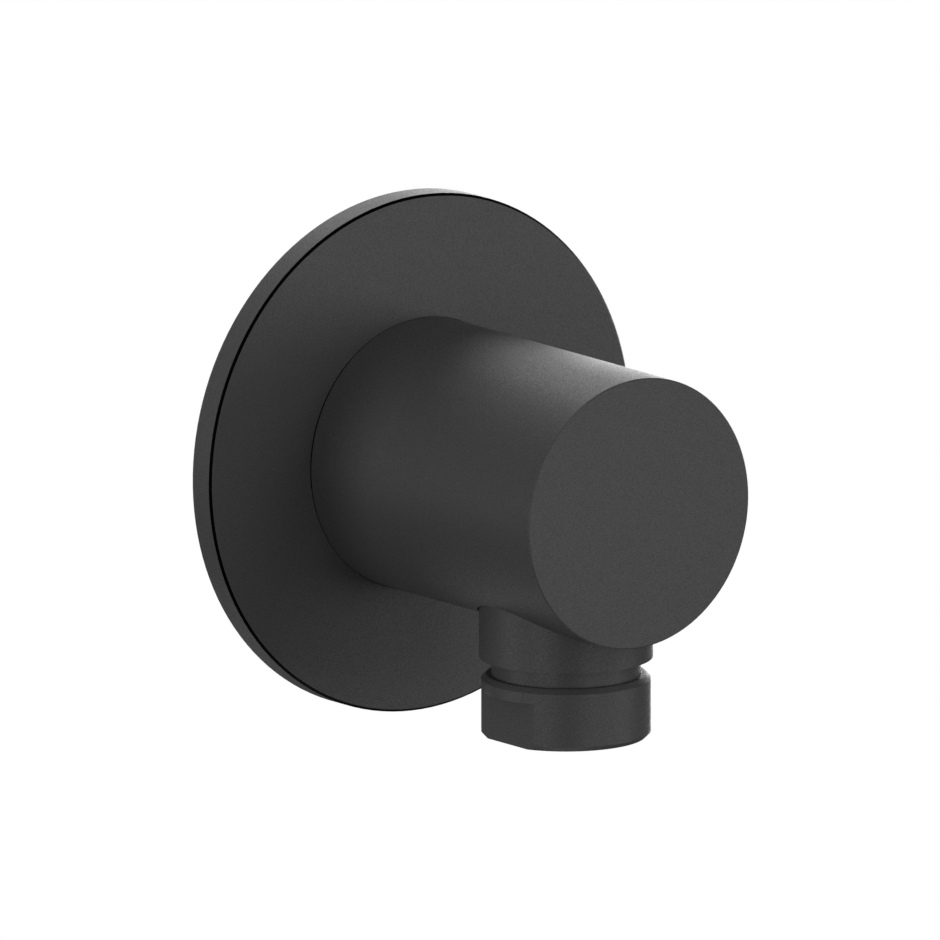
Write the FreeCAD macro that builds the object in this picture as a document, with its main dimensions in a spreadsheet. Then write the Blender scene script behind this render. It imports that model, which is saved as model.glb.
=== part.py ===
"""Wall outlet elbow for a shower hose.

A round elbow stands out of a wall rosette and turns the water down into a hose nipple.
Millimetres. The wall plane is y = 0, the elbow stands out along -Y, +Z is up, and the
origin is where the elbow's axis meets the wall plane. The outlet points down, along -Z.
"""

import FreeCAD, Part
import os
import re
import Sketcher

Vector = FreeCAD.Vector

# Driving dimensions. "drop" is a distance down from the elbow's axis, "depth" a distance
# out from the wall plane.
SIZES = {
    # Wall rosette: a shallow turned dish, open at the back
    "rosette_radius": 32.5,
    "rosette_thickness": 3.6,
    "rosette_edge_break": 0.34,
    "rosette_skin": 1.6,
    "rosette_rim_wall": 1.5,
    "rosette_hub_wall": 2.9,
    "rosette_hub_set_back": 0.3,
    "rosette_bore_gap": 0.06,
    "rosette_ring_depth": 1.9,
    "rosette_ring_groove": 1.34,
    # Foam ring in the back of the rosette
    "foam_width": 7.2,
    "foam_rim_gap": 0.3,
    # Elbow body: a solid bar turned round and bored from the back and from below
    "body_radius": 17.0,
    "body_projection": 48.5,
    "body_wall_gap": 0.5,
    "body_edge_break": 0.15,
    "socket_radius": 11.05,
    "socket_end_gap": 0.5,
    "socket_lead": 0.6,
    "waterway_radius": 6.0,
    "waterway_overrun": 6.0,
    "drill_tip_angle": 118.0,
    "outlet_from_wall": 33.5,
    # Nipple that screws into the pipe in the wall: G1/2 thread, flange and spigot
    "wall_thread_radius": 10.4775,
    "wall_thread_length": 12.0,
    "wall_thread_lead": 1.2,
    "wall_thread_relief": 1.3,
    "wall_bore_radius": 5.8,
    "flange_radius": 13.6,
    "flange_thickness": 2.0,
    "flange_gap": 0.3,
    "wall_seal_thickness": 1.5,
    "wall_seal_inner_gap": 0.15,
    "wall_seal_outer_inset": 0.2,
    "spigot_depth": 19.5,
    "spigot_gap": 0.05,
    "spigot_lead": 0.8,
    "spigot_hex_across": 12.0,
    "spigot_hex_depth": 9.0,
    "front_ring_land": 2.6,
    "spigot_ring_spacing": 3.4,
    "spigot_ring_groove": 1.65,
    "ring_fit": 0.02,
    "ring_side_room": 0.5,
    # Grub screw M5 that locks the elbow on the spigot, its cone in a notch round it
    "screw_from_wall": 7.6,
    "screw_radius": 2.5,
    "screw_sunk": 0.4,
    "screw_tip_radius": 0.9,
    "screw_tip_gap": 0.3,
    "screw_hex_across": 2.5,
    "screw_hex_depth": 2.6,
    "screw_notch_depth": 1.6,
    "thread_gap": 0.05,
    # Outlet nipple: G3/8 thread into the body, shoulder, relief and G1/2 hose collar
    "nipple_thread_radius": 8.331,
    "nipple_thread_lead": 0.7,
    "nipple_top_drop": 4.5,
    "nipple_end_room": 0.4,
    "nipple_bore_radius": 5.6,
    "nipple_seat_drop": 11.5,
    "nipple_undercut": 0.83,
    "nipple_ring_section": 1.8,
    "shoulder_radius": 10.75,
    "shoulder_bore_gap": 0.2,
    "shoulder_drop": 20.5,
    "neck_radius": 9.25,
    "neck_height": 2.15,
    "collar_radius": 10.4775,
    "collar_height": 7.85,
    "collar_chamfer": 0.6,
    "flats_across": 18.0,
    "flats_start": 1.95,
    # Non-return valve: a plastic cartridge pushed up the nipple from the hose end
    "valve_bore_radius": 7.6,
    "valve_bore_lead": 0.5,
    "valve_length": 14.5,
    "valve_recess": 1.5,
    "valve_bore_gap": 0.15,
    "valve_seat_depth": 3.8,
    "valve_seat_radius": 4.0,
    "valve_seat_lead": 0.8,
    "valve_chamber_radius": 5.9,
    "valve_ring_place": 2.1,
    "valve_ring_groove": 1.25,
    "guide_step": 0.55,
    "guide_gap": 0.05,
    "guide_rim_wall": 1.1,
    "guide_height": 2.8,
    "guide_web": 1.8,
    "guide_hub_radius": 3.0,
    "guide_hub_rise": 0.7,
    "guide_window_angle": 84.0,
    "stem_radius": 1.2,
    "stem_gap": 0.06,
    "stem_end_chamfer": 0.3,
    "seat_gap": 0.1,
    "seal_radius": 5.1,
    "seal_thickness": 0.95,
    "seal_neck_radius": 1.6,
    "seal_neck_gap": 0.05,
    "poppet_disc_radius": 4.9,
    "poppet_disc_thickness": 1.05,
    "nose_radius": 2.6,
    "nose_rim": 0.6,
    "nose_rise": 2.2,
    "nose_tip_radius": 0.8,
    "spring_coil_radius": 2.2,
    "spring_wire_radius": 0.25,
    "spring_turns": 4.0,
    "spring_end_gap": 0.02,
}

GUIDE_WINDOWS = 3

# Sizes that follow from the driving ones, as formulas
FLANGE_DEPTH = "wall_seal_thickness + flange_thickness"
FLANGE_ROOM_DEPTH = f"({FLANGE_DEPTH} + flange_gap)"
FLANGE_ROOM_RADIUS = "flange_radius + flange_gap"
SPIGOT_RADIUS = "(socket_radius - spigot_gap)"
SOCKET_DEPTH = "(spigot_depth + socket_end_gap)"
WATERWAY_DEPTH = "(outlet_from_wall + waterway_overrun)"
DRILL_TIP_DEPTH = f"{WATERWAY_DEPTH} + waterway_radius / tan(drill_tip_angle / 2)"
FRONT_RING_DEPTH = "(spigot_depth - front_ring_land)"
REAR_RING_DEPTH = f"({FRONT_RING_DEPTH} - spigot_ring_spacing)"
NOTCH_FLOOR = f"({SPIGOT_RADIUS} - screw_notch_depth)"
SCREW_TIP_DROP = f"({NOTCH_FLOOR} + screw_tip_radius + screw_tip_gap)"
SCREW_BOTTOM_DROP = "(body_radius - screw_sunk)"
ROSETTE_BORE = "(body_radius + rosette_bore_gap)"
ROSETTE_BACK = "(rosette_thickness - rosette_skin)"
NECK_DROP = "(shoulder_drop + neck_height)"
COLLAR_DROP = f"({NECK_DROP} + collar_height)"
UNDERCUT_RADIUS = "(nipple_thread_radius - nipple_undercut)"
RING_RECESS_RADIUS = f"({UNDERCUT_RADIUS} + nipple_ring_section + 2 * ring_fit)"
RING_RECESS_DROP = "(nipple_seat_drop - nipple_ring_section - 2 * ring_fit)"
SHELF_DROP = f"({COLLAR_DROP} - valve_recess - valve_length)"
VALVE_RADIUS = "(valve_bore_radius - valve_bore_gap)"
VALVE_END_DROP = f"({SHELF_DROP} + valve_length)"
SEAT_DROP = f"({SHELF_DROP} + valve_seat_depth)"
GUIDE_DROP = f"({VALVE_END_DROP} - guide_height)"
GUIDE_POCKET_RADIUS = "(valve_chamber_radius + guide_step)"
GUIDE_RADIUS = f"({GUIDE_POCKET_RADIUS} - guide_gap)"
HUB_DROP = f"({GUIDE_DROP} - guide_hub_rise)"
WEB_DROP = f"({GUIDE_DROP} + guide_web)"
SEAL_DROP = f"({SEAT_DROP} + seat_gap)"
DISC_DROP = f"({SEAL_DROP} + seal_thickness)"
DISC_BACK_DROP = f"({DISC_DROP} + poppet_disc_thickness)"
OVERCUT = "1"

document = FreeCAD.newDocument("WallOutletElbow")
sheet = document.addObject("Spreadsheet::Sheet", "Sizes")
for row, (name, size) in enumerate(SIZES.items(), start=1):
    sheet.set(f"A{row}", name)
    sheet.set(f"B{row}", str(size))
    sheet.setAlias(f"B{row}", name)
document.recompute()

pieces = []


def bound(formula):
    """The formula with each name of the sheet written as a reference to its cell."""

    def cell(word):
        name = word.group(0)
        return f"Sizes.{name}" if name in SIZES else name

    return re.sub(r"[a-z]\w*", cell, formula)


def value(formula):
    """The formula's value with the sheet as it stands."""
    result = sheet.evalExpression(bound(formula))
    return float(getattr(result, "Value", result))


def bind(thing, prop, formula):
    thing.setExpression(prop, bound(formula))


def new_body(label, axis_depth=None):
    """An empty body, its own origin moved out from the wall by axis_depth where given."""
    body = document.addObject("PartDesign::Body", "Body")
    body.Label = label
    if axis_depth:
        bind(body, "Placement.Base.y", f"-({axis_depth})")
    pieces.append(body)
    return body


def new_sketch(body, plane, name, offset=None):
    """A sketch on one of the body's origin planes, moved along its normal by offset."""
    sketch = body.newObject("Sketcher::SketchObject", name)
    support = [face for face in body.Origin.OriginFeatures if face.Role == plane]
    sketch.AttachmentSupport = (support[0], [""])
    sketch.MapMode = "FlatFace"
    if offset:
        bind(sketch, "AttachmentOffset.Base.z", offset)
    return sketch


def fix_point(sketch, curve, point, across, up):
    """Ties a point of a curve (1 start, 3 centre) to its distances from the origin."""
    for kind, axis, formula in (("DistanceX", -2, across), ("DistanceY", -1, up)):
        if formula == "0":
            sketch.addConstraint(Sketcher.Constraint("PointOnObject", curve, point, axis))
        else:
            distance = Sketcher.Constraint(kind, -1, 1, curve, point, value(formula))
            bind(sketch, f"Constraints[{sketch.addConstraint(distance)}]", formula)


def draw_outline(sketch, points):
    """A closed outline of straight lines, each corner given as a pair of formulas."""
    places = [Vector(value(across), value(up), 0) for across, up in points]
    first = sketch.GeometryCount
    count = len(points)
    for start, end in zip(places, places[1:] + places[:1]):
        sketch.addGeometry(Part.LineSegment(start, end), False)
    for index in range(count):
        line = first + index
        following = first + (index + 1) % count
        sketch.addConstraint(Sketcher.Constraint("Coincident", line, 2, following, 1))
        fix_point(sketch, line, 1, *points[index])


def draw_circle(sketch, across, up, radius):
    """A circle with its centre and radius given as formulas."""
    centre = Vector(value(across), value(up), 0)
    circle = sketch.addGeometry(Part.Circle(centre, Vector(0, 0, 1), value(radius)), False)
    fix_point(sketch, circle, 3, across, up)
    index = sketch.addConstraint(Sketcher.Constraint("Radius", circle, value(radius)))
    bind(sketch, f"Constraints[{index}]", radius)


def turn(body, plane, points):
    """Turns an outline of (radius, height) corners about the plane's upright axis."""
    sketch = new_sketch(body, plane, "TurnedOutline")
    draw_outline(sketch, points)
    turned = body.newObject("PartDesign::Revolution", "Turned")
    turned.Profile = sketch
    turned.ReferenceAxis = (sketch, ["V_Axis"])
    turned.Angle = 360
    document.recompute()
    return turned


def cut(body, sketch, depth):
    """Cuts a sketch into the body against its plane's normal, and checks that it bites."""
    before = body.Shape.Volume
    pocket = body.newObject("PartDesign::Pocket", "Cut")
    pocket.Profile = sketch
    bind(pocket, "Length", depth)
    document.recompute()
    if not body.Shape.Volume < before:
        raise ValueError(f"a cut in {body.Label} removes nothing")
    return pocket


def turned_on_wall_axis(label, points):
    """A piece turned about the elbow's own axis: corners are (radius, y)."""
    body = new_body(label)
    turn(body, "XY_Plane", points)
    return body


def turned_on_outlet_axis(label, points):
    """A piece turned about the upright outlet axis: corners are (radius, z)."""
    body = new_body(label, "outlet_from_wall")
    turn(body, "XZ_Plane", points)
    return body


def hexagon(across):
    """The corners of a hexagon of this width across its flats, two corners upright."""
    half = f"{across} / 2"
    short = f"{across} / (2 * sqrt(3))"
    tall = f"{across} / sqrt(3)"
    return [
        ("0", tall),
        (f"-{half}", short),
        (f"-{half}", f"-{short}"),
        ("0", f"-{tall}"),
        (half, f"-{short}"),
        (half, short),
    ]


def rectangle(left, bottom, right, top):
    return [(left, bottom), (right, bottom), (right, top), (left, top)]


def new_ring(label, axis, radius, section, place):
    """A seal ring of round section, on the wall axis (place is y) or the outlet axis (z)."""
    ring = document.addObject("Part::Torus", "Ring")
    ring.Label = label
    if axis == "wall":
        ring.Placement = FreeCAD.Placement(Vector(), FreeCAD.Rotation(Vector(1, 0, 0), 90))
        bind(ring, "Placement.Base.y", place)
    else:
        bind(ring, "Placement.Base.y", "-outlet_from_wall")
        bind(ring, "Placement.Base.z", place)
    bind(ring, "Radius1", radius)
    bind(ring, "Radius2", f"({section}) / 2")
    pieces.append(ring)
    return ring


def ring_groove(outer, floor, centre, width):
    """Four corners of a square groove for a seal ring, in order of growing distance."""
    near = f"-({centre} - ({width}) / 2)"
    far = f"-({centre} + ({width}) / 2)"
    return [(outer, near), (floor, near), (floor, far), (outer, far)]


def make_rosette():
    """The dish: front skin, rim that meets the wall, and hub with its ring groove."""
    bore = ROSETTE_BORE
    hub = f"{bore} + rosette_hub_wall"
    rim = "rosette_radius - rosette_rim_wall"
    width = "rosette_ring_groove + ring_side_room"
    floor = f"{bore} + rosette_ring_groove"
    turned_on_wall_axis(
        "wall_rosette",
        [
            (bore, "-rosette_thickness"),
            ("rosette_radius - rosette_edge_break", "-rosette_thickness"),
            ("rosette_radius", "-rosette_thickness + rosette_edge_break"),
            ("rosette_radius", "0"),
            (rim, "0"),
            (rim, f"-{ROSETTE_BACK}"),
            (hub, f"-{ROSETTE_BACK}"),
            (hub, "-rosette_hub_set_back"),
            (bore, "-rosette_hub_set_back"),
        ]
        + ring_groove(bore, floor, "rosette_ring_depth", width),
    )
    section = "rosette_bore_gap + rosette_ring_groove - 2 * ring_fit"
    radius = f"body_radius + ring_fit + ({section}) / 2"
    new_ring("rosette_o_ring", "wall", radius, section, "-rosette_ring_depth")


def make_foam_ring():
    """Foam between the rosette's skin and the wall, cut as a flat ring."""
    outer = "rosette_radius - rosette_rim_wall - foam_rim_gap"
    corners = rectangle(f"{outer} - foam_width", f"-{ROSETTE_BACK}", outer, "0")
    turned_on_wall_axis("rosette_gasket", corners)


def make_elbow_body():
    """The bar, its rear socket and waterway, the outlet bore and the screw hole."""
    body = turned_on_wall_axis(
        "elbow_body",
        [
            ("0", "-body_projection"),
            ("body_radius - body_edge_break", "-body_projection"),
            ("body_radius", "-body_projection + body_edge_break"),
            ("body_radius", "-body_wall_gap"),
            (FLANGE_ROOM_RADIUS, "-body_wall_gap"),
            (FLANGE_ROOM_RADIUS, f"-{FLANGE_ROOM_DEPTH}"),
            ("socket_radius + socket_lead", f"-{FLANGE_ROOM_DEPTH}"),
            ("socket_radius", f"-{FLANGE_ROOM_DEPTH} - socket_lead"),
            ("socket_radius", f"-{SOCKET_DEPTH}"),
            ("waterway_radius", f"-{SOCKET_DEPTH}"),
            ("waterway_radius", f"-{WATERWAY_DEPTH}"),
            ("0", f"-({DRILL_TIP_DEPTH})"),
        ],
    )
    bore_outlet(body)
    drill_screw_hole(body)


def bore_outlet(body):
    """The stepped bore from below: shoulder room, ring recess and thread."""
    axis = "-outlet_from_wall"
    below = f"-(body_radius + {OVERCUT})"
    thread = f"{axis} + nipple_thread_radius + thread_gap"
    recess = f"{axis} + {RING_RECESS_RADIUS}"
    shoulder = f"{axis} + shoulder_radius + shoulder_bore_gap"
    top = "-(nipple_top_drop - nipple_end_room)"
    sketch = new_sketch(body, "YZ_Plane", "OutletBore")
    draw_outline(
        sketch,
        [
            (axis, top),
            (thread, top),
            (thread, f"-{RING_RECESS_DROP}"),
            (recess, f"-{RING_RECESS_DROP}"),
            (recess, "-nipple_seat_drop"),
            (shoulder, "-nipple_seat_drop"),
            (shoulder, below),
            (axis, below),
        ],
    )
    upright = sketch.GeometryCount - 1
    before = body.Shape.Volume
    bore = body.newObject("PartDesign::Groove", "OutletBoreCut")
    bore.Profile = sketch
    bore.ReferenceAxis = (sketch, [f"Edge{upright + 1}"])
    bore.Angle = 360
    document.recompute()
    if not body.Shape.Volume < before:
        raise ValueError("the outlet bore removes nothing")


def drill_screw_hole(body):
    """The grub screw's hole, through the underside into the socket."""
    sketch = new_sketch(body, "XY_Plane", "ScrewHole")
    draw_circle(sketch, "0", "-screw_from_wall", "screw_radius + thread_gap")
    cut(body, sketch, f"body_radius + {OVERCUT}")


def make_wall_nipple():
    """Thread for the pipe in the wall, flange, and spigot with its grooves and hexagon."""
    flange_back = "-wall_seal_thickness"
    flange_front = f"-({FLANGE_DEPTH})"
    floor = "socket_radius - spigot_ring_groove"
    width = "spigot_ring_groove + ring_side_room"
    notch_near = "-(screw_from_wall - screw_notch_depth)"
    notch_far = "-(screw_from_wall + screw_notch_depth)"
    body = turned_on_wall_axis(
        "wall_nipple",
        [
            ("wall_bore_radius", "wall_thread_length"),
            ("wall_thread_radius - wall_thread_lead", "wall_thread_length"),
            ("wall_thread_radius", "wall_thread_length - wall_thread_lead"),
            ("wall_thread_radius", "0"),
            ("wall_thread_radius - wall_thread_relief", "0"),
            ("wall_thread_radius - wall_thread_relief", flange_back),
            ("flange_radius", flange_back),
            ("flange_radius", flange_front),
            (SPIGOT_RADIUS, flange_front),
            (SPIGOT_RADIUS, notch_near),
            (NOTCH_FLOOR, "-screw_from_wall"),
            (SPIGOT_RADIUS, notch_far),
        ]
        + ring_groove(SPIGOT_RADIUS, floor, REAR_RING_DEPTH, width)
        + ring_groove(SPIGOT_RADIUS, floor, FRONT_RING_DEPTH, width)
        + [
            (SPIGOT_RADIUS, "-(spigot_depth - spigot_lead)"),
            (f"{SPIGOT_RADIUS} - spigot_lead", "-spigot_depth"),
            ("wall_bore_radius", "-spigot_depth"),
        ],
    )
    sketch = new_sketch(body, "XZ_Plane", "HexSocket", offset="spigot_depth")
    draw_outline(sketch, hexagon("spigot_hex_across"))
    cut(body, sketch, "spigot_hex_depth")


def make_wall_seals():
    """The flat ring under the flange and the two rings on the spigot."""
    inner = "wall_thread_radius + wall_seal_inner_gap"
    outer = "flange_radius - wall_seal_outer_inset"
    corners = rectangle(inner, "-wall_seal_thickness", outer, "0")
    turned_on_wall_axis("wall_seal_ring", corners)
    section = "spigot_ring_groove - 2 * ring_fit"
    radius = "socket_radius - spigot_ring_groove / 2"
    new_ring("nipple_o_ring_rear", "wall", radius, section, f"-{REAR_RING_DEPTH}")
    new_ring("nipple_o_ring_front", "wall", radius, section, f"-{FRONT_RING_DEPTH}")


def make_grub_screw():
    """A cone-point screw with a hexagon socket in its lower end."""
    body = new_body("grub_screw", "screw_from_wall")
    tip = f"-{SCREW_TIP_DROP}"
    point = f"-({SCREW_TIP_DROP} + screw_radius - screw_tip_radius)"
    turn(
        body,
        "XZ_Plane",
        [
            ("0", tip),
            ("screw_tip_radius", tip),
            ("screw_radius", point),
            ("screw_radius", f"-{SCREW_BOTTOM_DROP}"),
            ("0", f"-{SCREW_BOTTOM_DROP}"),
        ],
    )
    top = f"-{SCREW_BOTTOM_DROP} + screw_hex_depth"
    sketch = new_sketch(body, "XY_Plane", "HexSocket", offset=top)
    draw_outline(sketch, hexagon("screw_hex_across"))
    cut(body, sketch, f"screw_hex_depth + {OVERCUT}")


def make_outlet_nipple():
    """The turned nipple, then its two spanner flats, milled up from the hose end.

    The collar's side is drawn in two stretches, so that the full round above the flats
    is a face of its own, and neither cut is refined, which would join the two again.
    """
    bottom = f"-{COLLAR_DROP}"
    collar_side = f"-({COLLAR_DROP} - collar_chamfer)"
    flats_top = f"-({NECK_DROP} + flats_start)"
    body = new_body("outlet_nipple", "outlet_from_wall")
    turned = turn(
        body,
        "XZ_Plane",
        [
            ("nipple_bore_radius", "-nipple_top_drop"),
            ("nipple_thread_radius - nipple_thread_lead", "-nipple_top_drop"),
            ("nipple_thread_radius", "-(nipple_top_drop + nipple_thread_lead)"),
            ("nipple_thread_radius", f"-{RING_RECESS_DROP}"),
            (UNDERCUT_RADIUS, f"-{RING_RECESS_DROP}"),
            (UNDERCUT_RADIUS, "-nipple_seat_drop"),
            ("shoulder_radius", "-nipple_seat_drop"),
            ("shoulder_radius", "-shoulder_drop"),
            ("neck_radius", "-shoulder_drop"),
            ("neck_radius", f"-{NECK_DROP}"),
            ("collar_radius - collar_chamfer", f"-{NECK_DROP}"),
            ("collar_radius", f"-({NECK_DROP} + collar_chamfer)"),
            ("collar_radius", flats_top),
            ("collar_radius", collar_side),
            ("collar_radius - collar_chamfer", bottom),
            ("valve_bore_radius + valve_bore_lead", bottom),
            ("valve_bore_radius", f"-({COLLAR_DROP} - valve_bore_lead)"),
            ("valve_bore_radius", f"-{SHELF_DROP}"),
            ("nipple_bore_radius", f"-{SHELF_DROP}"),
        ],
    )
    turned.Refine = False
    reach = f"collar_radius + {OVERCUT}"
    sketch = new_sketch(body, "XY_Plane", "SpannerFlats", offset=flats_top)
    draw_outline(sketch, rectangle("flats_across / 2", f"-({reach})", reach, reach))
    draw_outline(sketch, rectangle(f"-({reach})", f"-({reach})", "-flats_across / 2", reach))
    flats = cut(body, sketch, f"collar_height - flats_start + {OVERCUT}")
    flats.Refine = False
    document.recompute()
    section = "nipple_ring_section"
    radius = f"{UNDERCUT_RADIUS} + ring_fit + ({section}) / 2"
    place = f"-(nipple_seat_drop - ring_fit - ({section}) / 2)"
    new_ring("outlet_o_ring", "outlet", radius, section, place)


def make_valve_housing():
    """The cartridge's shell: seat bore above, chamber below, ring groove outside."""
    floor = "valve_bore_radius - valve_ring_groove"
    centre = f"({SHELF_DROP} + valve_ring_place)"
    width = "valve_ring_groove + ring_side_room"
    turned_on_outlet_axis(
        "valve_housing",
        [
            ("valve_seat_radius + valve_seat_lead", f"-{SHELF_DROP}"),
            (VALVE_RADIUS, f"-{SHELF_DROP}"),
        ]
        + ring_groove(VALVE_RADIUS, floor, centre, width)
        + [
            (VALVE_RADIUS, f"-{VALVE_END_DROP}"),
            (GUIDE_POCKET_RADIUS, f"-{VALVE_END_DROP}"),
            (GUIDE_POCKET_RADIUS, f"-{GUIDE_DROP}"),
            ("valve_chamber_radius", f"-{GUIDE_DROP}"),
            ("valve_chamber_radius", f"-{SEAT_DROP}"),
            ("valve_seat_radius", f"-{SEAT_DROP}"),
            ("valve_seat_radius", f"-({SHELF_DROP} + valve_seat_lead)"),
        ],
    )
    section = "valve_ring_groove - 2 * ring_fit"
    radius = "valve_bore_radius - valve_ring_groove / 2"
    new_ring("valve_o_ring", "outlet", radius, section, f"-{centre}")


def make_valve_guide():
    """The spider that carries the stem: rim, web with windows, and hub."""
    rim = f"({GUIDE_RADIUS} - guide_rim_wall)"
    bore = "stem_radius + stem_gap"
    body = turned_on_outlet_axis(
        "valve_guide",
        [
            (bore, f"-{HUB_DROP}"),
            ("guide_hub_radius", f"-{HUB_DROP}"),
            ("guide_hub_radius", f"-{GUIDE_DROP}"),
            (GUIDE_RADIUS, f"-{GUIDE_DROP}"),
            (GUIDE_RADIUS, f"-{VALVE_END_DROP}"),
            (rim, f"-{VALVE_END_DROP}"),
            (rim, f"-{WEB_DROP}"),
            (bore, f"-{WEB_DROP}"),
        ],
    )
    sketch = new_sketch(body, "XY_Plane", "GuideWindow", offset=f"-{GUIDE_DROP}")
    draw_window(sketch, "guide_hub_radius", rim)
    window = cut(body, sketch, "guide_height")
    pattern = body.newObject("PartDesign::PolarPattern", "GuideWindows")
    pattern.Originals = [window]
    pattern.Axis = (sketch, ["N_Axis"])
    pattern.Angle = 360
    pattern.Occurrences = GUIDE_WINDOWS
    body.Tip = pattern
    document.recompute()


def draw_window(sketch, inner, outer):
    """A window between two radii, its straight ends on lines through the centre."""
    half = value("guide_window_angle / 2")
    turn_to = FreeCAD.Units.Quantity(half, "deg").getValueAs("rad").Value
    centre = Vector()
    normal = Vector(0, 0, 1)
    arcs = []
    for radius in (inner, outer):
        circle = Part.Circle(centre, normal, value(radius))
        arc = sketch.addGeometry(Part.ArcOfCircle(circle, -turn_to, turn_to), False)
        sketch.addConstraint(Sketcher.Constraint("Coincident", arc, 3, -1, 1))
        index = sketch.addConstraint(Sketcher.Constraint("Radius", arc, value(radius)))
        bind(sketch, f"Constraints[{index}]", radius)
        arcs.append(arc)
    for end, sign in ((1, -1), (2, 1)):
        direction = FreeCAD.Rotation(normal, sign * half).multVec(Vector(1, 0, 0))
        segment = Part.LineSegment(direction * value(inner), direction * value(outer))
        line = sketch.addGeometry(segment, False)
        sketch.addConstraint(Sketcher.Constraint("Coincident", line, 1, arcs[0], end))
        sketch.addConstraint(Sketcher.Constraint("Coincident", line, 2, arcs[1], end))
        sketch.addConstraint(Sketcher.Constraint("PointOnObject", -1, 1, line))
        angle = Sketcher.Constraint("Angle", -1, 1, line, 1, sign * turn_to)
        index = sketch.addConstraint(angle)
        bind(sketch, f"Constraints[{index}]", f"{sign} * guide_window_angle / 2")


def make_poppet():
    """The valve's moving plug, closed: nose, seal neck, disc and stem."""
    turned_on_outlet_axis(
        "valve_poppet",
        [
            ("0", f"-({SEAL_DROP} - nose_rise)"),
            ("nose_tip_radius", f"-({SEAL_DROP} - nose_rise)"),
            ("nose_radius", f"-({SEAL_DROP} - nose_rim)"),
            ("nose_radius", f"-{SEAL_DROP}"),
            ("seal_neck_radius", f"-{SEAL_DROP}"),
            ("seal_neck_radius", f"-{DISC_DROP}"),
            ("poppet_disc_radius", f"-{DISC_DROP}"),
            ("poppet_disc_radius", f"-{DISC_BACK_DROP}"),
            ("stem_radius", f"-{DISC_BACK_DROP}"),
            ("stem_radius", f"-({WEB_DROP} - stem_end_chamfer)"),
            ("stem_radius - stem_end_chamfer", f"-{WEB_DROP}"),
            ("0", f"-{WEB_DROP}"),
        ],
    )
    inner = "seal_neck_radius + seal_neck_gap"
    corners = rectangle(inner, f"-{DISC_DROP}", "seal_radius", f"-{SEAL_DROP}")
    turned_on_outlet_axis("poppet_seal", corners)


def make_valve_spring():
    """The spring under the poppet, one helix of round wire on the guide's hub."""
    body = new_body("valve_spring", "outlet_from_wall")
    lowest = f"{HUB_DROP} - spring_end_gap - spring_wire_radius"
    height = f"{HUB_DROP} - {DISC_BACK_DROP} - 2 * (spring_end_gap + spring_wire_radius)"
    sketch = new_sketch(body, "XZ_Plane", "Wire")
    draw_circle(sketch, "spring_coil_radius", f"-({lowest})", "spring_wire_radius")
    coil = body.newObject("PartDesign::AdditiveHelix", "Coil")
    coil.Profile = sketch
    coil.ReferenceAxis = (sketch, ["V_Axis"])
    coil.Mode = "height-turns-angle"
    bind(coil, "Height", height)
    bind(coil, "Turns", "spring_turns")
    document.recompute()


def check_and_export():
    """Refuses a failed feature or a bad solid, then writes each piece to its own file."""
    document.recompute()
    for thing in document.Objects:
        if "Invalid" in thing.State or "Error" in thing.State:
            raise ValueError(f"{thing.Label} failed: {thing.State}")
    for piece in pieces:
        shape = piece.Shape
        if shape.isNull() or not shape.isValid() or len(shape.Solids) != 1:
            raise ValueError(f"{piece.Label} is not one valid solid")
    os.makedirs("parts", exist_ok=True)
    for piece in pieces:
        piece.Shape.exportStep(os.path.join("parts", piece.Label + ".step"))


make_rosette()
make_foam_ring()
make_elbow_body()
make_wall_nipple()
make_wall_seals()
make_grub_screw()
make_outlet_nipple()
make_valve_housing()
make_valve_guide()
make_poppet()
make_valve_spring()
check_and_export()
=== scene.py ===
import math

import bmesh
import bpy
from mathutils import Matrix, Vector


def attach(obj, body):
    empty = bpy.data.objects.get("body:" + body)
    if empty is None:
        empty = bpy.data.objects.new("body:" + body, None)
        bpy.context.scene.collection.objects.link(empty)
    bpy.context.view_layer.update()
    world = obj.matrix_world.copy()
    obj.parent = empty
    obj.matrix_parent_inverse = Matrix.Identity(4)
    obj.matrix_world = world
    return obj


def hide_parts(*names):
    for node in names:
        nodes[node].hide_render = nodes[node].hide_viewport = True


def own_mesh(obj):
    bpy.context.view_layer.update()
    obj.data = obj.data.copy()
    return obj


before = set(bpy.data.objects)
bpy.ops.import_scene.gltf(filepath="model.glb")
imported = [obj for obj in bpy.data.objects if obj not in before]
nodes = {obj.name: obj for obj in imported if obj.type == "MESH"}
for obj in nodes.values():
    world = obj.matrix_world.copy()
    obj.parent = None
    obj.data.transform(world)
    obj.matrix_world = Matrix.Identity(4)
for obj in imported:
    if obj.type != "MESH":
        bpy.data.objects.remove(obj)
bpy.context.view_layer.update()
MM = 0.001

# Camera: parallel lines of sight, from the left of the elbow and a little above it, which
# is how the photograph shows it. It aims beside the elbow's axis, so that the fitting
# stands as far right and as low in the picture as it does there.
PICTURE_WIDTH = 116.05 * MM
TURNED_LEFT = math.radians(36.80)
RAISED = math.radians(12.12)
AIM_FROM_WALL = 25 * MM
AIM_TO_LEFT = 6.76 * MM
AIM_UPWARDS = 1.452 * MM
CAMERA_DISTANCE = 0.4

to_right = Vector((math.cos(TURNED_LEFT), -math.sin(TURNED_LEFT), 0))
to_camera = Vector((
    -math.sin(TURNED_LEFT) * math.cos(RAISED),
    -math.cos(TURNED_LEFT) * math.cos(RAISED),
    math.sin(RAISED),
))
upwards = to_camera.cross(to_right)
aim = Vector((0, -AIM_FROM_WALL, 0)) - AIM_TO_LEFT * to_right + AIM_UPWARDS * upwards

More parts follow.
